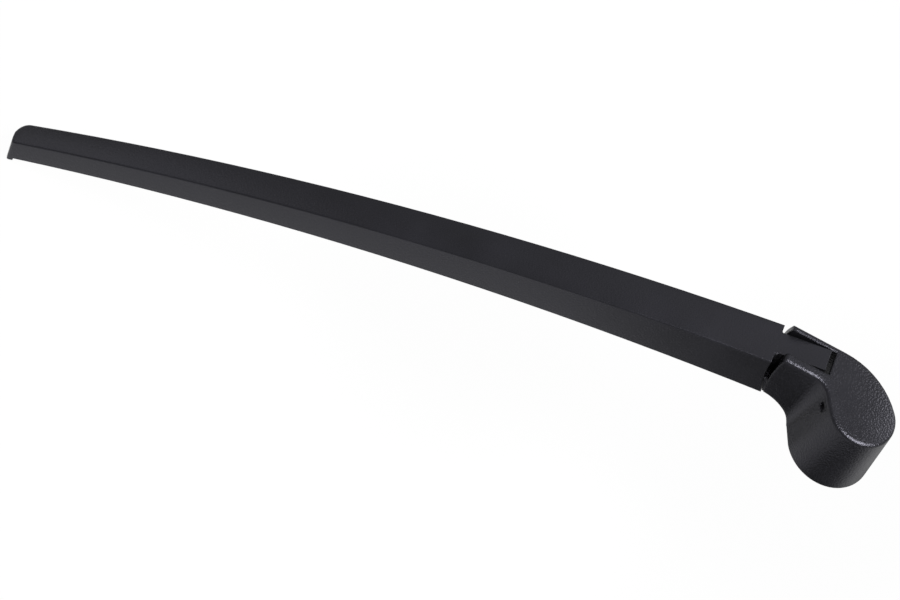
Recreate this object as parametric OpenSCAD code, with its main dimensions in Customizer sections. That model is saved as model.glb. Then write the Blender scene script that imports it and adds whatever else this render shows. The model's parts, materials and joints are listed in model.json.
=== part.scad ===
// Rear window wiper arm: a moulded channel arm, hinged on a cast head that clamps on a spindle.
// The origin is on the spindle axis at the glass side of the head. +Z leaves the glass along the
// spindle, the arm runs to -X, and the head's round end stands out to -Y. The arm is modelled at
// its lower stop, with its side view bowed like the glass.

/* [Head cover] */
// Height of the head from its glass side to its flat top
head_h = 32.5; // [31:0.5:35]
// Radius of the round end at the flat top
boss_r = 14.5; // [13.6:0.1:15.4]
// Lean of the round end's wall, in degrees
boss_draft = 7.2; // [6:0.2:9]
// Lean of the ears' outer walls, in degrees
ear_draft = 5.8; // [4.6:0.2:7]
// Rounding of the cover's top edge
rim_r = 1.4; // [0.8:0.1:1.8]
// Wall thickness of the cover
cover_wall = 2; // [1.6:0.1:2.2]
// Radius of the long curve that runs from the round end to the far ear
sweep_r = 32; // [29:0.1:35]
// Radius of the crook between the near ear and the round end
crook_r = 8; // [6:0.5:10]
// Length of the flat between the crook and the round end
crook_flat = 8.3; // [6:0.1:10]
// Width of the near ear at the top
ear_near = 4.1; // [4:0.1:5]
// Width of the far ear at the top
ear_far = 2.5; // [2.4:0.1:3.4]
// Distance from the hinge axis to the front of the ears
ear_reach = 10.3; // [9.6:0.1:10.6]
// How much further forward the far ear stands
ear_lead = 1.3; // [0.8:0.1:1.3]
// Rounding of the ears' upper front corners
ear_round = 1.4; // [1:0.1:1.5]
// Radius of the bowed front edge of the ears
ear_bow_r = 58; // [50:1:70]
// The same for the far ear
far_bow_r = 34; // [30:1:40]
// Height of the ears' lower front corner
ear_foot = 9.6; // [9:0.1:11]
// Radius of the relief that lifts the rim under the ears
relief_r = 20.8; // [18:0.1:22]
// Depth of the levering notch in the crook
notch_depth = 1.5; // [0.8:0.1:1.5]
// Height of the lip on the near ear's front edge
lip_h = 7.4; // [5:0.2:10]
// Step from the ear's outer wall back to the lip
lip_back = 0.4; // [0.2:0.05:0.8]
// Gap between the lip and the arm's shoulder
lip_gap = 1; // [0.8:0.05:1.4]

/* [Head hub] */
// Distance from the spindle axis to the hinge axis along the arm
hinge_back = 28; // [27.5:0.25:30]
// Depth of the hinge axis under the cover's flat top
hinge_drop = 7.6; // [6.5:0.1:8]
// Distance from the spindle axis to the middle of the hinge, across the arm
neck_side = 14.6; // [13.8:0.1:15.4]
// Radius of the hub round the spindle at the glass side
hub_r = 9.2; // [9:0.1:9.6]
// Radius of the hub at the nut seat
hub_top_r = 8.6; // [8.2:0.1:9]
// Height of the nut seat
seat_z = 14; // [12.5:0.5:15]
// Radius of the clearance bore at the mouth of the spindle socket
socket_r = 6; // [5.8:0.1:6.4]
// Depth of that bore
socket_depth = 3.4; // [3:0.2:4]
// Radius of the spindle taper at its wide end
taper_r = 5.4; // [5.2:0.1:5.6]
// Radius of the spindle taper at its narrow end
taper_end_r = 4.6; // [4.4:0.1:4.8]
// Radius of the hole for the spindle's stud
stud_r = 4.15; // [4:0.05:4.3]
// Length of the stud hole under the nut seat
stud_len = 4; // [3:0.5:4.5]
// Gap between the hinge lugs and the roof of the arm's neck
lug_gap = 0.3; // [0.2:0.05:0.5]

/* [Hinge] */
// Radius of the hinge pin
pin_r = 2.25; // [2:0.05:2.4]
// Wall of the hinge bushes
bush_wall = 0.75; // [0.6:0.05:0.9]
// Thickness of the bushes' flanges
flange_t = 0.5; // [0.4:0.05:0.6]
// How far the bushes' flanges stay inside the lugs
flange_in = 0.25; // [0.1:0.05:0.4]
// Width of the arm's neck between the ears
neck_w = 10.2; // [10:0.1:11]
// Gap between the neck and each ear
neck_gap = 0.7; // [0.4:0.05:0.8]
// Thickness of the neck's cheeks
cheek_t = 1.8; // [1.6:0.05:1.9]
// Radius of the cheeks round the hinge pin
cheek_r = 5.6; // [5.2:0.1:5.8]
// Fillet between the neck and the shoulder, on the near side
neck_fillet = 2.4; // [1.6:0.1:2.4]
// The same on the far side, where the ear stands further forward
neck_fillet_far = 0.8; // [0.6:0.1:0.9]
// Depth of both fillets, from the arm's top
fillet_drop = 4; // [3:0.2:5]
// Rise of the tongue's end above the cover's flat top
tongue_rise = 0.65; // [0.5:0.05:0.9]
// Overhang of the neck's tongue behind the hinge axis
tongue_reach = 7; // [6.5:0.1:7.3]
// Gap between the tongue's end and the end of the cover's slot
slot_gap = 2.5; // [2.3:0.1:3]

/* [Arm] */
// Length of the arm along its top, from the shoulder to the tip
arm_len = 345.5; // [300:0.1:360]
// Width across the top at the shoulder
arm_w_root = 19.7; // [19:0.1:20.4]
// Width across the top at the tip
arm_w_tip = 11.4; // [10.4:0.1:13]
// Swelling of that width at mid length
arm_swell = 0.5; // [0:0.1:1]
// Depth of the sides at the shoulder
arm_d_root = 20.3; // [19.6:0.1:21]
// Depth of the sides at the tip
arm_d_tip = 9.9; // [9.4:0.1:12]
// How much shallower the sides are at mid length
arm_waist = 0.7; // [0:0.1:1]
// Slope of the arm's top at the shoulder, in degrees
arm_pitch = 13.8; // [13:0.1:14.4]
// Radius of the bow of the arm's top, seen from the side
arm_bow_r = 1234; // [1100:2:1500]
// Flare of each side from the vertical, in degrees
arm_flare = 4.6; // [3:0.1:5]
// Wall thickness of the arm
arm_wall = 1.9; // [1.6:0.1:2.1]
// Rounding of the two long edges
crease_r = 0.7; // [0.5:0.1:1.5]
// Rise of the top between the two long edges
crown = 0.35; // [0.1:0.05:0.6]
// Distance from the hinge axis to the shoulder
shoulder_reach = 13.7; // [13.5:0.1:14.5]
// Radius of the bowed shoulder
shoulder_bow_r = 57; // [50:1:70]
// Offset of the arm's centre plane from the neck's
arm_side = 0.6; // [0:0.1:1.2]
// Length of the rounded nose on the far side
nose_len = 5.4; // [4:0.1:6.5]
// Length of the same rounding on the near side
nose_near = 1.8; // [1.2:0.1:3]
// Drop of the lip under the nose
lip_drop = 1.3; // [0.8:0.1:2]
// Thickness of the cross ribs inside the arm
rib_t = 1.2; // [1:0.1:1.6]
// Spacing of the cross ribs
rib_pitch = 26; // [20:1:32]
// Radius of the blade pin
blade_pin_r = 2.2; // [1.8:0.1:2.4]
// Distance from the tip to the blade pin
blade_pin_back = 15; // [13:0.5:20]

/* [Spring] */
// Distance from the hinge axis to the anchor pin, towards the spindle
anchor_back = 6; // [5.5:0.1:6.3]
// Distance from the hinge axis down to the anchor pin
anchor_down = 6.5; // [6.2:0.1:7]
// Radius of the anchor pin
anchor_r = 1.5; // [1.3:0.05:1.7]
// Distance along the arm from the shoulder to the spring pin
spring_run = 68; // [62:1:76]
// Radius of the spring pin
spring_pin_r = 2; // [1.7:0.1:2.2]
// Thickness of the spring link
link_t = 1.7; // [1.5:0.1:1.8]
// Width of the link's bow
link_w = 3; // [2.6:0.1:3.2]
// Radius of the spring wire
wire_r = 0.8; // [0.6:0.05:0.9]
// Mean radius of the spring's coils
coil_r = 3.3; // [3:0.1:3.6]
// Number of coils
coils = 23; // [18:1:26]

/* [Hidden] */
$fn = 64;

// Radial room of a turning fit, and of a fixed one
run_gap = 0.05;
snug_gap = 0.02;
// Side play between the pieces on the hinge pin
side_play = 0.1;
// How far the neck reaches through the shoulder wall
neck_root = 2.6;
// Room beside the spring link in its slot
link_play = 0.2;
// How far a cutting tool runs past the face that it cuts
over = 1;

// Places on the hinge
hinge_x = -hinge_back;
hinge_z = head_h - hinge_drop;
neck_y = neck_side;
neck_in = neck_w / 2 - cheek_t;
slot_half = neck_w / 2 + neck_gap;
slot_y0 = neck_y - slot_half;
slot_y1 = neck_y + slot_half;
near_y = slot_y0 - ear_near;
far_y = slot_y1 + ear_far;
tongue_x = hinge_x + tongue_reach;
slot_x = tongue_x + slot_gap;
ear_x = hinge_x - ear_reach;
link_half = link_t / 2 + link_play;
lug_out = neck_in - side_play - flange_t;
bush_r = pin_r + bush_wall;
pin_bite = 2.2;
pin_y0 = slot_y0 - pin_bite;
pin_y1 = slot_y1 + ear_far / 2;

// The arm's top line: straight over the neck, level with the cover at the tongue's end
tongue_z = head_h + tongue_rise;
root_x = hinge_x - shoulder_reach;
root_z = tongue_z - (tongue_x - root_x) * tan(arm_pitch);
arm_y = neck_y - arm_side;
deg = 180 / PI;
roof_z = tongue_z - arm_wall / cos(arm_pitch) - (tongue_x - hinge_x) * tan(arm_pitch);
lug_r = (roof_z - hinge_z) * cos(arm_pitch) - lug_gap;
flange_r = lug_r - flange_in;

// Pitch of the arm's top at s along it, and the point there as [x, z]
function pitch(s) = arm_pitch + s / arm_bow_r * deg;
function along(s) = [
    root_x - arm_bow_r * (sin(pitch(s)) - sin(arm_pitch)),
    root_z + arm_bow_r * (cos(pitch(s)) - cos(arm_pitch))
];

// Sections are square to the top at the shoulder and turn upright towards the tip, as the mould draws
tip_lean = 1.5;
function lean(s) = arm_pitch + (tip_lean - arm_pitch) * s / arm_len;
function down(s) = [sin(lean(s)), -cos(lean(s))];
function hump(s) = 4 * s / arm_len * (1 - s / arm_len);
function depth(s) =
    (arm_d_root + (arm_d_tip - arm_d_root) * s / arm_len - arm_waist * hump(s)) / cos(pitch(s) - lean(s));
function point(s, w) = along(s) + w * down(s);

// Half the arm's width at s and at w below its top
function half_width(s, w) =
    (arm_w_root + (arm_w_tip - arm_w_root) * s / arm_len + arm_swell * hump(s)) / 2 + w * tan(arm_flare);

// The crown fades out towards the shoulder, where the top runs flat into the neck
crown_run = 30;
function crown_at(s) = crown * min(1, max(0, s / crown_run));

// How much of a side's width is left in the rounded nose, run being the rounding's length
function nose(s, len, run) = s < len - run ? 1 : sqrt(max(0.02, 1 - pow((s - len + run) / run, 2)));

// One section of the arm at s: in is 0 for the skin and the wall for the core, and w1 is the depth
corner_n = 4;
function section(s, in, w1, len) =
    let (
        r = max(0.2, crease_r - in / 2),
        side_n = function(w) max(0.3, (half_width(s, w) - in) * nose(s, len, nose_near)),
        side_f = function(w) max(0.3, (half_width(s, w) - in) * nose(s, len, nose_len)),
        mid = (side_f(in) - side_n(in)) / 2,
        half = (side_f(in) + side_n(in)) / 2,
        rise = crown_at(s) * nose(s, len, nose_len),
        bend = [for (i = [0 : corner_n])
            let (a = 90 * i / corner_n)
            [half - r + r * cos(a), in + r - r * sin(a)]],
        roof = [for (t = [-0.65, 0, 0.65]) [mid + t * half, in - rise * (1 - t * t)]]
    )
    concat(
        [[-side_n(w1), w1]],
        [for (b = bend) [mid - b[0], b[1]]],
        roof,
        [for (i = [corner_n : -1 : 0]) [mid + bend[i][0], bend[i][1]]],
        [[side_f(w1), w1]]
    );

function place(s, q) = let (p = point(s, q[1])) [p[0], arm_y + q[0], p[1]];

// Centre of the circle that cuts the arm's end, so that the shoulder follows the ears' bow
shoulder_sag = 0.9;
shoulder_c = point(0, arm_d_root / 2) + (shoulder_bow_r - shoulder_sag) * [cos(arm_pitch), sin(arm_pitch)];

// A closed solid from a list of rings with the same number of points
module loft(rings) {
    n = len(rings[0]);
    m = len(rings);
    pts = [for (r = rings) each r];
    sides = [for (j = [0 : m - 2]) for (i = [0 : n - 1])
        each [
            [j * n + i, (j + 1) * n + (i + 1) % n, j * n + (i + 1) % n],
            [j * n + i, (j + 1) * n + i, (j + 1) * n + (i + 1) % n]
        ]];
    first = [[for (i = [0 : n - 1]) i]];
    last = [[for (k = [0 : n - 1]) (m - 1) * n + (n - k) % n]];
    polyhedron(points = pts, faces = concat(first, sides, last), convexity = 6);
}

// A profile drawn in [x, z], pulled along Y from y0 to y1
module pull(y0, y1) {
    translate([0, y1, 0])
        rotate([90, 0, 0])
            linear_extrude(y1 - y0)
                children();
}

// A round bar along Y
module bar(x, z, r, y0, y1) {
    translate([x, y0, z])
        rotate([-90, 0, 0])
            cylinder(r = r, h = y1 - y0);
}

// The cover's outline at the flat top, as [x, y, outward x, outward y, share of the round end's lean]
far_c = [-sqrt(pow(sweep_r - boss_r, 2) - pow(far_y - sweep_r, 2)), far_y - sweep_r];
far_a = atan2(-far_c[1], -far_c[0]);
crook_d = sqrt(pow(crook_r + boss_r, 2) + pow(crook_flat, 2));
crook_c = [-sqrt(pow(crook_d, 2) - pow(near_y - crook_r, 2)), near_y - crook_r];
crook_a = atan2(-crook_c[1], -crook_c[0]) + atan(crook_flat / (crook_r + boss_r));

function arc(c, r, a0, a1, n, out, w0, w1) = [for (i = [0 : n])
    let (t = i / n, a = a0 + (a1 - a0) * t)
    [c[0] + r * cos(a), c[1] + r * sin(a), out * cos(a), out * sin(a), w0 + (w1 - w0) * t]];

function outline(front_x) = concat(
    [[far_c[0], far_y, 0, 1, 0], [front_x, far_y, 0, 1, 0], [front_x, near_y, 0, -1, 0]],
    arc(crook_c, crook_r, 90, crook_a, 7, -1, 0, 0),
    arc([0, 0], boss_r, 180 + crook_a, 360 + far_a, 32, 1, 1, 1),
    [for (p = arc(far_c, sweep_r, far_a, 90, 9, 1, 1, 0)) if (p[4] < 0.99 && p[4] > 0.01) p]
);

function wall_lean(w) = ear_draft + (boss_draft - ear_draft) * w;
function shift(p, d, z) = [p[0] + p[2] * d, p[1] + p[3] * d, z];

// The outer form of the cover: a leaning wall with a rounded top edge
rim_n = 4;
module cover_form(front_x) {
    top = outline(front_x);
    foot = [for (p = top) shift(p, head_h * tan(wall_lean(p[4])), 0)];
    rim = [for (k = [0 : rim_n])
        [for (p = top)
            let (
                d = wall_lean(p[4]),
                a = d + (90 - d) * k / rim_n,
                mid = rim_r * (tan(d) - 1 / cos(d))
            )
            shift(p, mid + rim_r * cos(a), head_h - rim_r + rim_r * sin(a))]];
    loft(concat([foot], rim));
}

// The hollow inside it
module cover_hollow(front_x) {
    top = outline(front_x);
    loft([for (z = [-over, head_h - cover_wall])
        [for (p = top)
            let (d = wall_lean(p[4]))
            shift(p, (head_h - z) * tan(d) - cover_wall / cos(d), z)]]);
}

// Everything behind the bowed front edge of an ear, with its upper corner rounded
module ear_front(x, bow_r, y0, y1) {
    z = head_h - ear_round;
    cx = x + bow_r - sqrt(pow(bow_r - ear_round, 2) - pow(z - hinge_z, 2));
    difference() {
        union() {
            bar(x + bow_r, hinge_z, bow_r, y0, y1);
            translate([x + bow_r, y0, -over])
                cube([3 * ear_bow_r, y1 - y0, 2 * head_h]);
        }
        pull(y0 - over, y1 + over)
            difference() {
                translate([cx - 2 * ear_round, z])
                    square([2 * ear_round, 2 * ear_round]);
                translate([cx, z])
                    circle(r = ear_round);
            }
    }
}

// A small recess in the crook's wall, where a blade lifts the cover
notch_z = 5.4;
notch_w = 3.6;
notch_h = 3;
module levering_notch() {
    z = head_h - notch_z;
    wall = crook_r - (head_h - z) * tan(ear_draft);
    translate([crook_c[0], crook_c[1], z])
        rotate([0, 0, 4])
            translate([wall - over, -notch_w / 2, -notch_h / 2])
                cube([over + notch_depth, notch_w, notch_h]);
}

// The lip on the near ear's front edge: it stands a step behind the outer wall and follows the shoulder
module ear_lip() {
    z0 = ear_foot - 2;
    z1 = ear_foot + lip_h;
    outer = function(z) near_y + lip_back - (head_h - z) * tan(ear_draft);
    intersection() {
        bar(shoulder_c[0], shoulder_c[1], shoulder_bow_r - lip_gap, near_y - boss_r, neck_y);
        translate([ear_x - shoulder_reach, 0, 0])
            rotate([90, 0, 90])
                linear_extrude(shoulder_reach + 3)
                    polygon([[outer(z0), z0], [slot_y0 + over, z0], [slot_y0 + over, z1], [outer(z1), z1]]);
    }
}

module head_cover() {
    liner = 1.5;
    socket = pin_r + run_gap;
    fork_x = hinge_x + lug_r + 2;
    color([0.10, 0.10, 0.11])
    difference() {
        union() {
            intersection() {
                union() {
                    difference() {
                        cover_form(ear_x - ear_lead - 3);
                        cover_hollow(ear_x + 3.6);
                    }
                    // Inner walls of the ears, beside the neck
                    for (y = [slot_y0 - liner, slot_y1])
                        translate([ear_x - ear_lead, y, ear_foot - 2])
                            cube([fork_x - ear_x + ear_lead, liner, head_h - ear_foot]);
                    // Bosses round the ends of the hinge pin
                    bar(hinge_x, hinge_z, pin_r + 1.8, near_y + 0.4, slot_y0);
                    bar(hinge_x, hinge_z, pin_r + 1.8, slot_y1, far_y - 0.4);
                }
                // Bowed front edges of the ears
                union() {
                    ear_front(ear_x, ear_bow_r, -3 * boss_r, neck_y);
                    ear_front(ear_x - ear_lead, far_bow_r, neck_y - over, far_y + 3 * boss_r);
                }
            }
            ear_lip();
        }
        // Slot for the arm's neck
        translate([ear_x - 6, slot_y0, -over])
            cube([slot_x - ear_x + 6, 2 * slot_half, head_h + 3 * over]);
        // Relief that lifts the rim under the ears
        bar(ear_x + 0.8, ear_foot - relief_r, relief_r, -3 * boss_r, far_y + 3 * boss_r);
        // Sockets that snap on the ends of the hinge pin
        bar(hinge_x, hinge_z, socket, pin_y0 - side_play, pin_y1 + side_play);
        levering_notch();
        // Grooves that lead the pin up into the sockets
        translate([hinge_x - 0.8 * pin_r, pin_y0 - side_play, 0])
            cube([1.6 * pin_r, pin_y1 - pin_y0 + 2 * side_play, hinge_z]);
    }
}

module hub_side() {
    ax = hinge_x + anchor_back;
    az = hinge_z - anchor_down;
    union() {
        translate([hinge_x, hinge_z])
            circle(r = lug_r);
        translate([ax, az])
            circle(r = anchor_r + 1.9);
        polygon([
            [hinge_x - lug_r * 0.8, hinge_z - lug_r * 0.6],
            [hinge_x + lug_r * 0.8, hinge_z + lug_r * 0.3],
            [ax + anchor_r + 1.2, az + anchor_r],
            [-hub_top_r, seat_z],
            [0, seat_z],
            [0, 2],
            [-hub_r, 2],
            [ax - anchor_r - 1.4, az - anchor_r]
        ]);
    }
}

module head_hub() {
    ax = hinge_x + anchor_back;
    az = hinge_z - anchor_down;
    web_x = ax + anchor_r + 2.6;
    color([0.16, 0.16, 0.17])
    difference() {
        union() {
            rotate_extrude()
                polygon([
                    [0, 0], [hub_r, 0], [hub_r, 1.5], [hub_top_r + 0.4, seat_z - 0.4],
                    [hub_top_r, seat_z], [0, seat_z]
                ]);
            // Lugs and the web between them and the round end
            intersection() {
                pull(neck_y - 3 * boss_r, neck_y + lug_out)
                    hub_side();
                linear_extrude(head_h)
                    polygon([
                        [hinge_x - 2 * lug_r, neck_y - lug_out],
                        [hinge_x - 2 * lug_r, neck_y + lug_out],
                        [web_x - 2, neck_y + lug_out],
                        [0.25 * hub_r, 0.95 * hub_top_r],
                        [-0.55 * hub_top_r, 0.2 * hub_top_r],
                        [web_x - 2, neck_y - lug_out]
                    ]);
            }
        }
        // Spindle socket: clearance bore, taper and stud hole
        translate([0, 0, -over])
            cylinder(r = socket_r, h = socket_depth + over);
        translate([0, 0, socket_depth - 0.001])
            cylinder(r1 = taper_r, r2 = taper_end_r, h = seat_z - stud_len - socket_depth + 0.002);
        translate([0, 0, seat_z - stud_len])
            cylinder(r = stud_r, h = stud_len + over);
        // Slot for the spring link
        translate([hinge_x - 3 * lug_r, neck_y - link_half, 0])
            cube([web_x - hinge_x + 3 * lug_r, 2 * link_half, head_h]);
        // Bores for the bushes and the anchor pin
        bar(hinge_x, hinge_z, bush_r + snug_gap, neck_y - neck_in, neck_y + neck_in);
        bar(ax, az, anchor_r + snug_gap, neck_y - neck_in, neck_y + neck_in);
    }
}

module hinge_bush(side) {
    // side is -1 for the near bush and 1 for the far one
    inner = link_half;
    color([0.82, 0.81, 0.76])
    translate([hinge_x, neck_y, hinge_z])
        rotate([side < 0 ? 90 : -90, 0, 0])
            difference() {
                union() {
                    translate([0, 0, inner])
                        cylinder(r = bush_r, h = lug_out - inner + flange_t);
                    translate([0, 0, lug_out])
                        cylinder(r = flange_r, h = flange_t);
                }
                translate([0, 0, inner - over])
                    cylinder(r = pin_r + run_gap, h = lug_out + 2 * over);
            }
}

module hinge_pin() {
    color([0.72, 0.72, 0.74])
    translate([hinge_x, pin_y0, hinge_z])
        rotate([-90, 0, 0])
            rotate_extrude()
                polygon([
                    [0, 0], [pin_r - 0.4, 0], [pin_r, 0.4],
                    [pin_r, pin_y1 - pin_y0 - 0.4], [pin_r - 0.4, pin_y1 - pin_y0], [0, pin_y1 - pin_y0]
                ]);
}

module anchor_pin() {
    color([0.72, 0.72, 0.74])
        bar(hinge_x + anchor_back, hinge_z - anchor_down, anchor_r, neck_y - lug_out, neck_y + lug_out);
}

// The spring pin sits at mid depth of the channel
spring_w = 0.62;
spring_c = point(spring_run, spring_w * depth(spring_run));
spring_post = 2.4;
spring_post_y = coil_r + wire_r + 0.6;

module spring_pin() {
    half = spring_post_y + spring_post;
    color([0.72, 0.72, 0.74])
        bar(spring_c[0], spring_c[1], spring_pin_r, neck_y - half, neck_y + half);
}

blade_s = arm_len - blade_pin_back;
blade_c = point(blade_s, 0.5 * depth(blade_s));
blade_half = half_width(blade_s, 0.5 * depth(blade_s)) - 0.5 * arm_wall;

module blade_pin() {
    color([0.72, 0.72, 0.74])
        bar(blade_c[0], blade_c[1], blade_pin_r, arm_y - blade_half, arm_y + blade_half);
}

// Stations along the arm: even steps, one before the lip, then closer ones round the nose
skin_n = 22;
nose_n = 7;
lip_run = nose_len * (1 - sin(90 / nose_n));
function stations(s0, len) = concat(
    [for (i = [0 : skin_n]) s0 + (len - nose_len - s0) * i / skin_n],
    [len - lip_run - 0.1],
    [for (i = [1 : nose_n]) len - nose_len + nose_len * sin(90 * i / nose_n)]
);

module arm_skin() {
    loft([for (s = stations(-3, arm_len))
        [for (q = section(s, 0, depth(s) + (s > arm_len - lip_run - 0.05 ? lip_drop : 0), arm_len)) place(s, q)]]);
}

module arm_core() {
    loft([for (s = stations(arm_wall, arm_len - arm_wall))
        [for (q = section(s, arm_wall, depth(s) + 4, arm_len - arm_wall)) place(s, q)]]);
}

// Room without ribs behind the spring pin and before the blade pin
rib_after_spring = 24;
rib_before_blade = 16;

// A flat rib across the channel at s, from the roof down to the given share of the depth
module cross_rib(s, share) {
    w0 = 0.5 * arm_wall;
    w1 = share * depth(s);
    h0 = half_width(s, w0) - 0.6 * arm_wall;
    h1 = half_width(s, w1) - 0.6 * arm_wall;
    p = along(s);
    translate([p[0], arm_y, p[1]])
        rotate([0, -lean(s), 0])
            rotate([90, 0, -90])
                linear_extrude(rib_t, center = true)
                    polygon([[-h0, -w0], [h0, -w0], [h1, -w1], [-h1, -w1]]);
}

module neck_side_shape() {
    // Roof line over the neck, cheeks round the pin, and a root inside the channel
    reach = neck_root;
    a = [tongue_x, tongue_z];
    up = [-sin(arm_pitch), cos(arm_pitch)];
    back = [root_x, root_z] - reach * [cos(arm_pitch), sin(arm_pitch)];
    foot = back - (arm_d_root - 1.6) * up;
    heel = [root_x, root_z] - (arm_d_root - 0.3) * up + 1.4 * [cos(arm_pitch), sin(arm_pitch)];
    union() {
        polygon([
            a, a - arm_wall * up,
            [hinge_x + cheek_r * 0.9, hinge_z + cheek_r * 0.42],
            [hinge_x + cheek_r * 0.6, hinge_z - cheek_r * 0.79],
            [hinge_x, hinge_z - cheek_r],
            heel,
            foot,
            back - 0.15 * arm_wall * up,
            [root_x, root_z]
        ]);
        translate([hinge_x, hinge_z])
            circle(r = cheek_r);
    }
}

// A fillet in the corner between the neck and the shoulder, square to the arm's top
module shoulder_fillet(side, r) {
    sink = 1.4;
    translate([root_x, neck_y + side * neck_w / 2, root_z])
        rotate([0, -arm_pitch, 0])
            translate([0, 0, -fillet_drop])
                linear_extrude(fillet_drop - 0.05)
                    difference() {
                        translate([-sink, side < 0 ? -r : -sink])
                            square([r + sink, r + sink]);
                        translate([r, side * r])
                            circle(r = r);
                    }
}

module arm_channel() {
    // How far the room between the cheeks runs into the channel
    room_run = 1.5 * arm_d_root;
    rib_s0 = spring_run + rib_after_spring;
    rib_s1 = arm_len - blade_pin_back - rib_before_blade;
    color([0.10, 0.10, 0.11])
    difference() {
        union() {
            difference() {
                arm_skin();
                arm_core();
                // Bowed shoulder, square to the arm
                bar(shoulder_c[0], shoulder_c[1], shoulder_bow_r, arm_y - 2 * arm_w_root, arm_y + 2 * arm_w_root);
            }
            pull(neck_y - neck_w / 2, neck_y + neck_w / 2)
                neck_side_shape();
            shoulder_fillet(-1, neck_fillet);
            shoulder_fillet(1, neck_fillet_far);
            for (s = [rib_s0 : rib_pitch : rib_s1])
                cross_rib(s, 0.6);
            // Posts that hold the spring pin
            for (side = [-1, 1])
                spring_post(side);
        }
        // Room between the cheeks for the lugs, the link and the spring
        pull(neck_y - neck_in, neck_y + neck_in)
            polygon([
                [tongue_x + over, tongue_z] - arm_wall / cos(arm_pitch) * [0, 1] + over * [0, tan(arm_pitch)],
                [root_x - room_run, root_z - room_run * tan(arm_pitch) - arm_wall / cos(arm_pitch)],
                [root_x - room_run, root_z - 2 * arm_d_root],
                [tongue_x + over, root_z - 2 * arm_d_root]
            ]);
        bar(hinge_x, hinge_z, pin_r + snug_gap, neck_y - neck_w, neck_y + neck_w);
        bar(spring_c[0], spring_c[1], spring_pin_r + snug_gap,
            neck_y - spring_post_y - spring_post, neck_y + spring_post_y + spring_post);
        bar(blade_c[0], blade_c[1], blade_pin_r + snug_gap, arm_y - blade_half, arm_y + blade_half);
    }
}

module spring_post(side) {
    top = point(spring_run, 0.5 * arm_wall);
    y = neck_y + side * (spring_post_y + spring_post / 2);
    r = spring_pin_r + 1.8;
    pull(y - spring_post / 2, y + spring_post / 2)
        union() {
            translate(spring_c)
                circle(r = r);
            polygon([
                spring_c + [-r, 0], spring_c + [r, 0],
                [top[0] + r, top[1] + (r - 0.5) * tan(pitch(spring_run))],
                [top[0] - r, top[1] - (r + 0.5) * tan(pitch(spring_run))]
            ]);
        }
}

// The link runs from the anchor pin along the spring's line, with a bow that passes under the hinge pin
anchor_c = [hinge_x + anchor_back, hinge_z - anchor_down];
line_v = spring_c - anchor_c;
line_len = norm(line_v);
line_a = atan2(line_v[1], line_v[0]);
link_eye = 18.2;
bow_at = 8.85;
bow_in = pin_r + 0.6;
bow_drop = 0.3;

module spring_link() {
    color([0.66, 0.64, 0.55])
    translate([anchor_c[0], neck_y + link_t / 2, anchor_c[1]])
        rotate([90, 0, 0])
            linear_extrude(link_t)
                rotate(line_a)
                    link_shape();
}

// Drawn with the anchor at the origin and the spring towards +X; +Y is under the hinge pin
module link_shape() {
    difference() {
        union() {
            circle(r = anchor_r + 1.5);
            translate([link_eye, 0])
                circle(r = link_w);
            // Bow
            difference() {
                translate([bow_at, bow_drop])
                    circle(r = bow_in + link_w);
                translate([bow_at - 2 * bow_in - link_w, -4 * bow_in])
                    square([4 * bow_in + 2 * link_w, 4 * bow_in - link_w / 2]);
            }
            translate([0, -link_w / 2])
                square([bow_at - bow_in, link_w]);
            translate([bow_at + bow_in, -link_w / 2])
                square([link_eye - bow_at - bow_in, link_w]);
        }
        translate([bow_at, bow_drop])
            circle(r = bow_in);
        translate([bow_at - bow_in, -4 * bow_in])
            square([2 * bow_in, 4 * bow_in + bow_drop]);
        circle(r = anchor_r + run_gap);
        translate([link_eye, 0])
            circle(r = wire_r + 0.5);
    }
}

// The spring's centre line, with X along its axis from the link's eye and Z across the arm: a hook
// through the eye, the coils, and a hook round the spring pin
spring_len = line_len - link_eye;
hook_a = link_w * 0.77;
hook_b = spring_pin_r + wire_r + 0.15;
coil_x0 = 2 * hook_a + 2;
coil_x1 = spring_len - hook_b - 2;
turn_n = 12;

function spring_path() = concat(
    [for (a = [150 : 15 : 345]) [hook_a + hook_a * cos(a), 0, hook_a * sin(a)]],
    [for (i = [0 : 6])
        let (t = i / 7, r = coil_r * sin(90 * t), a = 90 + 270 * t * t)
        [2 * hook_a + (coil_x0 - 2 * hook_a) * t, r * cos(a), r * sin(a)]],
    [for (i = [0 : coils * turn_n])
        let (a = 360 * i / turn_n, t = i / (coils * turn_n))
        [coil_x0 + (coil_x1 - coil_x0) * t, coil_r * cos(a), coil_r * sin(a)]],
    [for (i = [1 : 6])
        let (t = i / 7, r = coil_r * cos(90 * t), a = 180 * (1 - pow(1 - t, 2)))
        [coil_x1 + (spring_len - hook_b - coil_x1) * t, r * cos(a), r * sin(a)]],
    [for (a = [180 : -15 : -90]) [spring_len + hook_b * cos(a), hook_b * sin(a), 0]]
);

function unit(v) = v / norm(v);
function square_to(v, t) = unit(v - (v * t) * t);

// A round wire along a path, its rings turned as little as possible from one to the next
module wire(path, r, n) {
    m = len(path);
    dirs = [for (i = [0 : m - 1]) unit(path[min(i + 1, m - 1)] - path[max(i - 1, 0)])];
    sides = [for (i = 0, v = square_to([0, 1, 0.1], dirs[0]); i < m;
        i = i + 1, v = square_to(v, dirs[min(i, m - 1)])) v];
    loft([for (i = [0 : m - 1])
        let (u = sides[i], w = cross(dirs[i], u))
        [for (k = [0 : n - 1]) path[i] + r * (cos(360 * k / n) * u + sin(360 * k / n) * w)]]);
}

module tension_spring() {
    color([0.30, 0.30, 0.32])
    translate([anchor_c[0], neck_y, anchor_c[1]])
        rotate([90, 0, 0])
            rotate(line_a)
                translate([link_eye, 0, 0])
                    wire(spring_path(), wire_r, 6);
}

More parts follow.
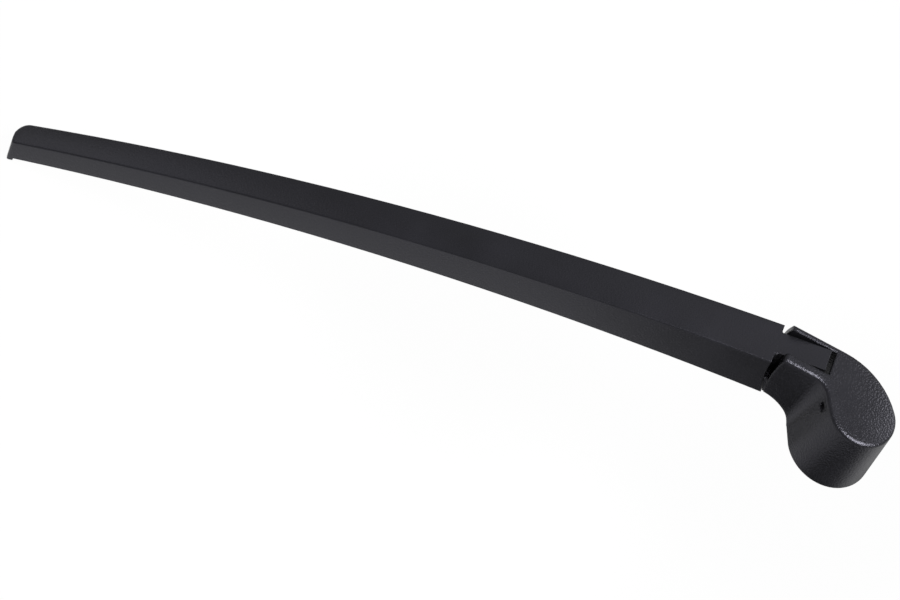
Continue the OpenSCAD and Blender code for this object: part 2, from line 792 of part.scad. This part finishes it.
head_hub();
head_cover();
arm_channel();
hinge_pin();
hinge_bush(-1);  // hinge_bush_near
hinge_bush(1);  // hinge_bush_far
spring_link();
anchor_pin();
spring_pin();
tension_spring();
blade_pin();
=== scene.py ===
"""Looks of the rear window wiper arm: its finishes, smooth skins, stage, lamps and camera."""

import json
import logging
import math
from dataclasses import dataclass
from enum import Enum
from typing import Any, Mapping, Sequence

import bmesh
import bpy
import numpy as np
from mathutils import Matrix, Vector

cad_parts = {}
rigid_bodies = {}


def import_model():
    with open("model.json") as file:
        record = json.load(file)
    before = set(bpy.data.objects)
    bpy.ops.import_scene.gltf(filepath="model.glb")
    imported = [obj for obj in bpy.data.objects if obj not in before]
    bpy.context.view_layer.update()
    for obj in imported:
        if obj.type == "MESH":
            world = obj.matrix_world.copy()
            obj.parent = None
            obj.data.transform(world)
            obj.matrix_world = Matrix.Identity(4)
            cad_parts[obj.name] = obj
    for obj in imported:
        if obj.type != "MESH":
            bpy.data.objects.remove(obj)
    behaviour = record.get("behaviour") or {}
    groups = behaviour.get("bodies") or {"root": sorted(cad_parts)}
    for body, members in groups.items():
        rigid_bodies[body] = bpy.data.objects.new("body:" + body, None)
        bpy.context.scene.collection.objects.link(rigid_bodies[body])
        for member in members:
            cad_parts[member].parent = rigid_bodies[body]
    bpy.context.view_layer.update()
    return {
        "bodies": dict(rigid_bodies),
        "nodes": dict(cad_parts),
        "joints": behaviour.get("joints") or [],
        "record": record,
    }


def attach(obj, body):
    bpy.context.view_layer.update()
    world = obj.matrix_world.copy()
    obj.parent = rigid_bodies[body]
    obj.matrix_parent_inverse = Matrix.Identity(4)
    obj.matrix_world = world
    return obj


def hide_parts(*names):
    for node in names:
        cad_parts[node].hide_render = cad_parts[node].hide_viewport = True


logging.basicConfig(level=logging.INFO, format="%(name)s: %(message)s")
LOG = logging.getLogger("wiper_arm")

MM = 0.001


def linear(hex_colour: str) -> tuple[float, float, float, float]:
    """Turns an sRGB hex colour into the linear values that a shader socket takes.

    Args:
        hex_colour: The colour as "#rrggbb".

    Returns:
        Linear red, green and blue, and an alpha of 1.
    """
    parts = [int(hex_colour[i : i + 2], 16) / 255 for i in (1, 3, 5)]
    red, green, blue = [c / 12.92 if c <= 0.04045 else ((c + 0.055) / 1.055) ** 2.4 for c in parts]
    return red, green, blue, 1.0


def add_node(
    tree: bpy.types.NodeTree,
    kind: str,
    settings: Mapping[str, Any] | None = None,
    inputs: Mapping[str | int, Any] | None = None,
    stops: Sequence[tuple[float, str]] = (),
) -> bpy.types.Node:
    """Adds one shader node, sets it up and links what feeds it.

    Args:
        tree: The node tree to add to.
        kind: Blender's name of the node type.
        settings: Values of the node's own properties.
        inputs: A constant or an output socket for each named or numbered input.
        stops: On a colour ramp, places from 0 to 1, each with a hex colour.

    Returns:
        The new node.
    """
    made = tree.nodes.new(kind)
    for key, value in (settings or {}).items():
        setattr(made, key, value)
    for key, value in (inputs or {}).items():
        if isinstance(value, bpy.types.NodeSocket):
            tree.links.new(value, made.inputs[key])
        else:
            made.inputs[key].default_value = value
    if stops:
        elements = made.color_ramp.elements
        while len(elements) < len(stops):
            elements.new(0.5)
        for element, (place, colour) in zip(elements, stops):
            element.position = place
            element.color = linear(colour)
    return made


def new_material(name: str) -> tuple[bpy.types.Material, bpy.types.NodeTree]:
    """Makes an empty node material.

    Args:
        name: What the material is, in plain words.

    Returns:
        The material and its node tree.
    """
    material = bpy.data.materials.new(name)
    material.use_nodes = True
    material.node_tree.nodes.clear()
    return material, material.node_tree


class Grain(Enum):
    """How the surface of a moulding tool was grained."""

    SPARK = "spark-eroded"
    LEATHER = "etched leather"


@dataclass(frozen=True)
class MouldedPlastic:
    """Polypropylene filled with carbon black, moulded in a grained tool.

    It is nearly black with a soft sheen. The grain breaks the sheen into fine points, and edges
    are slightly rounded by the tool.
    """

    name: str
    colour: str
    worn: str
    grain: Grain
    grain_mm: float
    grain_depth_mm: float
    roughness: float
    specular: float
    sheen: str
    edge_mm: float
    clouds_mm: float = 25.0
    shinier: float = 0.03
    duller: float = 0.04

    def build(self) -> bpy.types.Material:
        """Makes the material.

        Returns:
            The finished material.
        """
        material, tree = new_material(self.name)
        place = add_node(tree, "ShaderNodeTexCoord").outputs["Object"]
        # The real grain is 0.1 to 0.3 mm wide, less than a pixel of the render, so a cell is drawn
        # grain_mm wide, as coarse as it needs to show. Wear clouds the sheen, clouds_mm wide.
        if self.grain is Grain.LEATHER:
            cells = add_node(
                tree, "ShaderNodeTexVoronoi", {"feature": "SMOOTH_F1"},
                {"Vector": place, "Scale": 1 / (self.grain_mm * MM), "Smoothness": 0.6,
                 "Randomness": 0.9},
            )
            height = cells.outputs["Distance"]
        else:
            cells = add_node(
                tree, "ShaderNodeTexNoise", None,
                {"Vector": place, "Scale": 1 / (self.grain_mm * MM), "Detail": 2.0,
                 "Roughness": 0.6},
            )
            height = cells.outputs["Fac"]
        clouds = add_node(
            tree, "ShaderNodeTexNoise", None,
            {"Vector": place, "Scale": 1 / (self.clouds_mm * MM), "Detail": 3.0},
        ).outputs["Fac"]
        colour = add_node(
            tree, "ShaderNodeValToRGB", None, {"Fac": clouds},
            [(0.3, self.colour), (0.75, self.worn)],
        ).outputs["Color"]
        rough = add_node(
            tree, "ShaderNodeMapRange", None,
            {"Value": clouds, "From Min": 0.3, "From Max": 0.7,
             "To Min": self.roughness - self.shinier, "To Max": self.roughness + self.duller},
        ).outputs["Result"]
        edge = add_node(tree, "ShaderNodeBevel", {"samples": 4}, {"Radius": self.edge_mm * MM})
        bump = add_node(
            tree, "ShaderNodeBump", None,
            {"Strength": 1.0, "Distance": self.grain_depth_mm * MM, "Height": height,
             "Normal": edge.outputs["Normal"]},
        )
        shader = add_node(
            tree, "ShaderNodeBsdfPrincipled", None,
            {"Base Color": colour, "Roughness": rough, "IOR": 1.49,
             "Specular IOR Level": self.specular, "Specular Tint": linear(self.sheen),
             "Normal": bump.outputs["Normal"]},
        )
        add_node(tree, "ShaderNodeOutputMaterial", None, {"Surface": shader.outputs["BSDF"]})
        return material


@dataclass(frozen=True)
class CoatedCasting:
    """Die-cast aluminium under a thin dark coating, which dries to a fine orange peel."""

    name: str = "coated aluminium die casting"
    colour: str = "#2b2b2d"
    pale: str = "#3a3a3c"
    peel_mm: float = 0.8
    peel_depth_mm: float = 0.02
    roughness: float = 0.45

    def build(self) -> bpy.types.Material:
        """Makes the material.

        Returns:
            The finished material.
        """
        material, tree = new_material(self.name)
        place = add_node(tree, "ShaderNodeTexCoord").outputs["Object"]
        peel = add_node(
            tree, "ShaderNodeTexNoise", None,
            {"Vector": place, "Scale": 1 / (self.peel_mm * MM), "Detail": 2.0},
        ).outputs["Fac"]
        bump = add_node(
            tree, "ShaderNodeBump", None, {"Distance": self.peel_depth_mm * MM, "Height": peel}
        )
        colour = add_node(
            tree, "ShaderNodeValToRGB", None, {"Fac": peel}, [(0.35, self.colour), (0.7, self.pale)]
        ).outputs["Color"]
        shader = add_node(
            tree, "ShaderNodeBsdfPrincipled", None,
            {"Base Color": colour, "Metallic": 0.4, "Roughness": self.roughness,
             "Normal": bump.outputs["Normal"]},
        )
        add_node(tree, "ShaderNodeOutputMaterial", None, {"Surface": shader.outputs["BSDF"]})
        return material


@dataclass(frozen=True)
class PlatedSteel:
    """Turned or stamped steel under zinc plate, its sheen streaked by drawing or turning."""

    name: str
    colour: str
    dull: str
    roughness: float
    streak_mm: float = 0.25
    streak_depth_mm: float = 0.008
    shinier: float = 0.06
    duller: float = 0.08

    def build(self) -> bpy.types.Material:
        """Makes the material.

        Returns:
            The finished material.
        """
        material, tree = new_material(self.name)
        place = add_node(tree, "ShaderNodeTexCoord").outputs["Object"]
        # Streaks are streak_mm wide and forty times as long, across the arm
        drawn = add_node(
            tree, "ShaderNodeMapping", None, {"Vector": place, "Scale": (1.0, 0.025, 1.0)}
        ).outputs["Vector"]
        streaks = add_node(
            tree, "ShaderNodeTexNoise", None,
            {"Vector": drawn, "Scale": 1 / (self.streak_mm * MM), "Detail": 3.0},
        ).outputs["Fac"]
        rough = add_node(
            tree, "ShaderNodeMapRange", None,
            {"Value": streaks, "From Min": 0.3, "From Max": 0.7,
             "To Min": self.roughness - self.shinier, "To Max": self.roughness + self.duller},
        ).outputs["Result"]
        bump = add_node(
            tree, "ShaderNodeBump", None,
            {"Distance": self.streak_depth_mm * MM, "Height": streaks},
        )
        colour = add_node(
            tree, "ShaderNodeValToRGB", None, {"Fac": streaks},
            [(0.3, self.dull), (0.7, self.colour)],
        ).outputs["Color"]
        shader = add_node(
            tree, "ShaderNodeBsdfPrincipled", None,
            {"Base Color": colour, "Metallic": 1.0, "Roughness": rough,
             "Normal": bump.outputs["Normal"]},
        )
        add_node(tree, "ShaderNodeOutputMaterial", None, {"Surface": shader.outputs["BSDF"]})
        return material


@dataclass(frozen=True)
class TurnedAcetal:
    """Natural acetal, a milky bearing plastic with a waxy sheen."""

    name: str = "natural acetal bearing plastic"
    colour: str = "#d9d5c6"
    shade: str = "#cdc8b6"
    clouds_mm: float = 1.5
    roughness: float = 0.38

    def build(self) -> bpy.types.Material:
        """Makes the material.

        Returns:
            The finished material.
        """
        material, tree = new_material(self.name)
        place = add_node(tree, "ShaderNodeTexCoord").outputs["Object"]
        clouds = add_node(
            tree, "ShaderNodeTexNoise", None,
            {"Vector": place, "Scale": 1 / (self.clouds_mm * MM), "Detail": 2.0},
        ).outputs["Fac"]
        colour = add_node(
            tree, "ShaderNodeValToRGB", None, {"Fac": clouds},
            [(0.3, self.shade), (0.7, self.colour)],
        ).outputs["Color"]
        shader = add_node(
            tree, "ShaderNodeBsdfPrincipled", None,
            {"Base Color": colour, "Roughness": self.roughness, "IOR": 1.48},
        )
        add_node(tree, "ShaderNodeOutputMaterial", None, {"Surface": shader.outputs["BSDF"]})
        return material


ARM_PLASTIC = MouldedPlastic(
    name="black moulded plastic, fine grain", colour="#0d0d0f", worn="#111114",
    grain=Grain.SPARK, grain_mm=0.8, grain_depth_mm=0.10,
    roughness=0.32, specular=0.40, sheen="#efeeff", edge_mm=0.5,
)
COVER_PLASTIC = MouldedPlastic(
    name="black moulded plastic, leather grain", colour="#0d0d0f", worn="#111114",
    grain=Grain.LEATHER, grain_mm=0.85, grain_depth_mm=0.12,
    roughness=0.28, specular=0.40, sheen="#efeeff", edge_mm=1.3,
)
CASTING = CoatedCasting()
PIN_STEEL = PlatedSteel("zinc-plated turned steel", "#c3c3c6", "#a9a9ad", 0.30)
LINK_STEEL = PlatedSteel("yellow-passivated stamped steel", "#b9ad86", "#9a8e66", 0.38)
SPRING_STEEL = PlatedSteel("oiled spring wire", "#4a4a4e", "#38383b", 0.34, 0.15)
ACETAL = TurnedAcetal()


@dataclass
class SmoothSkin:
    """A skin over a moulded CAD node: the same form, with its tangent faces shaded as one."""

    node: str
    body: str
    slot: str
    piece: str
    crease_deg: float = 32.0
    merge_mm: float = 0.002

    def shape(self, points: np.ndarray) -> np.ndarray:
        """Leaves the points where the CAD has them.

        Args:
            points: The skin's points, one row each, in metres.

        Returns:
            The same points.
        """
        return points

    def build(self, frame: Mapping[str, Any], material: bpy.types.Material) -> bpy.types.Object:
        """Copies the node's form, merges its loose triangles and smooths the tangent edges.

        Args:
            material: The finish of the skin.

        Returns:
            The piece, which rides on its body and replaces its node.
        """
        work = bmesh.new()
        work.from_mesh(frame["nodes"][self.node].data)
        bmesh.ops.remove_doubles(work, verts=work.verts, dist=self.merge_mm * MM)
        limit = math.radians(self.crease_deg)
        for edge in work.edges:
            edge.smooth = len(edge.link_faces) == 2 and edge.calc_face_angle(0.0) < limit
        for face in work.faces:
            face.smooth = True
            face.material_index = 0
        mesh = bpy.data.meshes.new(self.piece)
        work.to_mesh(mesh)
        work.free()
        points = np.empty(3 * len(mesh.vertices), dtype=np.float32)
        mesh.vertices.foreach_get("co", points)
        mesh.vertices.foreach_set("co", self.shape(points.reshape(-1, 3)).ravel())
        mesh.update()
        mesh.materials.clear()
        mesh.materials.append(material)
        made = bpy.data.objects.new(self.piece, mesh)
        bpy.context.scene.collection.objects.link(made)
        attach(made, self.body)
        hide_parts(self.node)
        return made


@dataclass
class CoverSkin(SmoothSkin):
    """The cover's skin, whose lip on the near ear closes most of the gap to the arm's shoulder."""

    shoulder_mm: tuple[float, float] = (15.202, 31.591)
    lip_radius_mm: float = 56.0
    lip_reach_mm: float = 0.65
    lip_side_mm: float = 9.0
    lip_near_mm: float = 0.03

    def shape(self, points: np.ndarray) -> np.ndarray:
        """Moves the lip's front outwards, along the radius from the middle of the shoulder's bow.

        A point is on the front where its distance from that middle, seen from the side, is
        lip_radius_mm and it lies on the near side. Its distance grows by lip_reach_mm.

        Args:
            points: The skin's points, one row each, in metres.

        Returns:
            The points, with those on the lip's front further out by lip_reach_mm.
        """
        centre = np.array(self.shoulder_mm, dtype=np.float32) * MM
        out = points[:, (0, 2)] - centre
        radius = np.hypot(out[:, 0], out[:, 1])
        on_bow = np.abs(radius - self.lip_radius_mm * MM) < self.lip_near_mm * MM
        front = on_bow & (points[:, 1] < self.lip_side_mm * MM)
        LOG.info("%d points on the lip's front", int(front.sum()))
        moved = points.copy()
        grown = centre + out * (1 + self.lip_reach_mm / self.lip_radius_mm)
        moved[:, (0, 2)] = np.where(front[:, None], grown, points[:, (0, 2)])
        return moved


@dataclass
class CarriedNodes:
    """CAD nodes whose shape is right: each gets its real finish."""

    finishes: Mapping[str, bpy.types.Material]

    def dress(self, frame: Mapping[str, Any]) -> int:
        """Puts a material on every slot of each node.


        Returns:
            How many nodes were dressed.
        """
        for name, material in self.finishes.items():
            node = frame["nodes"][name]
            if not node.data.materials:
                node.data.materials.append(material)
            for slot in node.material_slots:
                slot.material = material
            LOG.info("%s is dressed in %s", name, material.name)
        return len(self.finishes)


@dataclass(frozen=True)
class Shade:
    """A round soft painted shade on the paper's colour and glow, which the object mirrors."""

    place: tuple[float, float, float]
    near: float
    far: float
    inner: float
    outer: float = 1.0

    def build(self, tree: bpy.types.NodeTree, place: bpy.types.NodeSocket) -> bpy.types.NodeSocket:
        """Works out how much of the paper's colour and glow the painted shade leaves at each point.

        Args:
            tree: The node tree to add to.
            place: Object coordinates of the paper.

        Returns:
            A socket that is inner within near of the middle and outer beyond far.
        """
        away = add_node(
            tree, "ShaderNodeVectorMath", {"operation": "DISTANCE"}, {0: place, 1: self.place}
        ).outputs["Value"]
        return add_node(
            tree, "ShaderNodeMapRange", {"interpolation_type": "SMOOTHSTEP"},
            {"Value": away, "From Min": self.near, "From Max": self.far,
             "To Min": self.inner, "To Max": self.outer},
        ).outputs["Result"]


@dataclass(frozen=True)
class SoftBox:
    """A lamp with a lit rectangle, which faces the object."""

    name: str
    place: tuple[float, float, float]
    size: tuple[float, float]
    watts: float

    def hang(self, centre: Vector) -> None:
        """Hangs the lamp, in metres from the object's centre, and turns it to the object.

        Args:
            centre: The object's centre.
        """
        data = bpy.data.lights.new(self.name, "AREA")
        data.shape = "RECTANGLE"
        data.size, data.size_y = self.size
        data.energy = self.watts
        made = bpy.data.objects.new(self.name, data)
        bpy.context.scene.collection.objects.link(made)
        made.location = centre + Vector(self.place)
        made.rotation_euler = (centre - made.location).to_track_quat("-Z", "Y").to_euler()


@dataclass
class Studio:
    """Floor, lamps and world: plain soft light on a pale floor, with shade painted on the floor."""

    floor_z: float = -113.5 * MM
    floor_half: float = 3.0
    centre: tuple[float, float, float] = (-0.17, 0.01, -0.03)
    # Painted shade before the head, under it and under the arm, and the painted edge of a pool of
    # light
    shades: tuple[Shade, ...] = (
        Shade((0.055, -0.16, -0.1135), 0.07, 0.20, 0.12),
        Shade((0.03, 0.06, -0.1135), 0.04, 0.15, 0.15),
        Shade((-0.15, 0.05, -0.1135), 0.03, 0.11, 0.25),
        Shade((-0.15, -0.10, -0.1135), 0.28, 0.85, 1.0, 0.20),
    )
    paper: str = "#d8d8d8"
    # The paper's colour under the deepest painted shade
    painted_shade_paper: str = "#505050"
    white_share: float = 0.98
    # The sky that lights the object, and the one it mirrors, near the ground and overhead
    soft_sky: float = 0.35
    low_sky: float = 0.35
    high_sky: float = 0.40
    low_rise: float = 0.05
    high_rise: float = 0.5
    # A long box at the near right lights the rims, and three weaker ones the rest
    lamps: tuple[SoftBox, ...] = (
        SoftBox("key_box", (0.50, -0.24, 1.0), (0.45, 0.8), 30.0),
        SoftBox("back_panel", (0.0, 0.75, 1.0), (0.9, 0.5), 0.6),
        SoftBox("right_back_box", (0.85, 0.75, 0.8), (0.4, 0.4), 3.0),
        SoftBox("left_panel", (-1.15, 0.45, 0.6), (0.6, 0.6), 1.0),
    )

    def floor(self) -> bpy.types.Object:
        """Lays a pale floor just under the tip. The camera sees it white, with a faint shadow that
        is partly real and partly painted. Painted shade darkens its colour and the glow that the
        object mirrors.

        Returns:
            The floor.
        """
        h = self.floor_half
        mesh = bpy.data.meshes.new("studio_floor")
        mesh.from_pydata(
            [(-h, -h, self.floor_z), (h, -h, self.floor_z),
             (h, h, self.floor_z), (-h, h, self.floor_z)],
            [], [(0, 1, 2, 3)],
        )
        material, tree = new_material("white paper sweep")
        rays = add_node(tree, "ShaderNodeLightPath")
        place = add_node(tree, "ShaderNodeTexCoord").outputs["Object"]
        # Painted shade: the shades multiply into one factor, which darkens the paper's colour and
        # its glow
        light = self.shades[0].build(tree, place)
        for shade in self.shades[1:]:
            light = add_node(
                tree, "ShaderNodeMath", {"operation": "MULTIPLY"},
                {0: light, 1: shade.build(tree, place)},
            ).outputs["Value"]
        # The paper's colour, darkened by the painted shade. Inputs 6 and 7 and output 2 of this
        # node are its colours
        tone = add_node(
            tree, "ShaderNodeMix", {"data_type": "RGBA"},
            {0: light, 6: linear(self.painted_shade_paper), 7: linear(self.paper)},
        ).outputs[2]
        paper = add_node(tree, "ShaderNodeBsdfDiffuse", None, {"Color": tone}).outputs["BSDF"]
        # The glow is full for the camera, and darkened by the painted shade for the rays that the
        # object mirrors
        level = add_node(
            tree, "ShaderNodeMath", {"operation": "MAXIMUM"},
            {0: rays.outputs["Is Camera Ray"], 1: light},
        ).outputs["Value"]
        glow = add_node(
            tree, "ShaderNodeEmission", None, {"Color": linear("#ffffff"), "Strength": level}
        ).outputs["Emission"]
        seen = add_node(
            tree, "ShaderNodeMixShader", None, {"Fac": self.white_share, 1: paper, 2: glow}
        ).outputs["Shader"]
        mixed = add_node(
            tree, "ShaderNodeMixShader", None, {"Fac": self.straight(tree, rays), 1: paper, 2: seen}
        ).outputs["Shader"]
        add_node(tree, "ShaderNodeOutputMaterial", None, {"Surface": mixed})
        mesh.materials.append(material)
        made = bpy.data.objects.new("studio_floor", mesh)
        bpy.context.scene.collection.objects.link(made)
        return made

    def straight(self, tree: bpy.types.NodeTree, rays: bpy.types.Node) -> bpy.types.NodeSocket:
        """Tells the rays that see the background from those that only light the object.

        Args:
            tree: The node tree to add to.
            rays: Its light path node.

        Returns:
            A socket that is 1 for camera, glossy and transmission rays.
        """
        mirrored = add_node(
            tree, "ShaderNodeMath", {"operation": "MAXIMUM"},
            {0: rays.outputs["Is Glossy Ray"], 1: rays.outputs["Is Transmission Ray"]},
        ).outputs["Value"]
        return add_node(
            tree, "ShaderNodeMath", {"operation": "MAXIMUM"},
            {0: rays.outputs["Is Camera Ray"], 1: mirrored},
        ).outputs["Value"]

    def world(self) -> None:
        """Sets a dim sky. The camera sees it white, and the object mirrors it as an even grey."""
        world = bpy.data.worlds.new("studio_air")
        world.use_nodes = True
        tree = world.node_tree
        tree.nodes.clear()
        soft = add_node(
            tree, "ShaderNodeBackground", None,
            {"Color": linear("#ffffff"), "Strength": self.soft_sky},
        ).outputs["Background"]
        rays = add_node(tree, "ShaderNodeLightPath")
        heading = add_node(tree, "ShaderNodeTexCoord").outputs["Generated"]
        rise = add_node(tree, "ShaderNodeSeparateXYZ", None, {"Vector": heading}).outputs["Z"]
        fall = add_node(
            tree, "ShaderNodeMapRange", {"interpolation_type": "SMOOTHSTEP"},
            {"Value": rise, "From Min": self.low_rise, "From Max": self.high_rise,
             "To Min": self.low_sky, "To Max": self.high_sky},
        ).outputs["Result"]
        level = add_node(
            tree, "ShaderNodeMath", {"operation": "MAXIMUM"},
            {0: rays.outputs["Is Camera Ray"], 1: fall},
        ).outputs["Value"]
        white = add_node(
            tree, "ShaderNodeBackground", None, {"Color": linear("#ffffff"), "Strength": level}
        ).outputs["Background"]
        mixed = add_node(
            tree, "ShaderNodeMixShader", None, {"Fac": self.straight(tree, rays), 1: soft, 2: white}
        ).outputs["Shader"]
        add_node(tree, "ShaderNodeOutputWorld", None, {"Surface": mixed})
        bpy.context.scene.world = world

    def build(self) -> None:
        """Builds the stage and hangs the lamps."""
        self.floor()
        self.world()
        for lamp in self.lamps:
            lamp.hang(Vector(self.centre))


@dataclass
class PhotoCamera:
    """The photograph's view, from the fit of the arm's edges and the head's outline."""

    centre_mm: tuple[float, float, float] = (-249.771, -605.999, 891.376)
    right: tuple[float, float, float] = (0.882054, 0.352821, 0.312247)
    down: tuple[float, float, float] = (0.464794, -0.760097, -0.454113)
    focal_px: float = 2658.835
    image_px: float = 900.0
    sensor_mm: float = 36.0
    clip_near: float = 0.05
    clip_far: float = 20.0

    def build(self) -> bpy.types.Object:
        """Places the camera and makes it the scene's.

        Returns:
            The camera.
        """
        data = bpy.data.cameras.new("photo_camera")
        data.sensor_width = self.sensor_mm
        data.lens = self.focal_px * self.sensor_mm / self.image_px
        data.clip_start, data.clip_end = self.clip_near, self.clip_far
        made = bpy.data.objects.new("photo_camera", data)
        bpy.context.scene.collection.objects.link(made)
        right = Vector(self.right).normalized()
        up = -Vector(self.down).normalized()
        back = right.cross(up)
        turn = Matrix((right, up, back)).transposed().to_4x4()
        made.matrix_world = Matrix.Translation(Vector(self.centre_mm) * MM) @ turn
        bpy.context.scene.camera = made
        return made


def main() -> None:
    """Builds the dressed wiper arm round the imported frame."""
    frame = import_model()
    bpy.context.scene.view_settings.view_transform = "Standard"
    PhotoCamera().build()
    Studio().build()
    arm_finish, cover_finish = ARM_PLASTIC.build(), COVER_PLASTIC.build()
    pin_finish, acetal = PIN_STEEL.build(), ACETAL.build()
    skins = [
        SmoothSkin("arm_channel", "arm", "arm_plastic", "arm_moulding").build(frame, arm_finish),
        CoverSkin("head_cover", "cover", "cover_plastic", "cover_moulding").build(
            frame, cover_finish
        ),
    ]
    dressed = CarriedNodes({
        "head_hub": CASTING.build(),
        "hinge_pin": pin_finish,
        "anchor_pin": pin_finish,
        "spring_pin": pin_finish,
        "blade_pin": pin_finish,
        "hinge_bush_near": acetal,
        "hinge_bush_far": acetal,
        "spring_link": LINK_STEEL.build(),
        "tension_spring": SPRING_STEEL.build(),
    }).dress(frame)
    for skin in skins:
        LOG.info("%s has %d faces", skin.name, len(skin.data.polygons))
    LOG.info("%d carried nodes dressed", dressed)


if __name__ == "__main__":
    main()
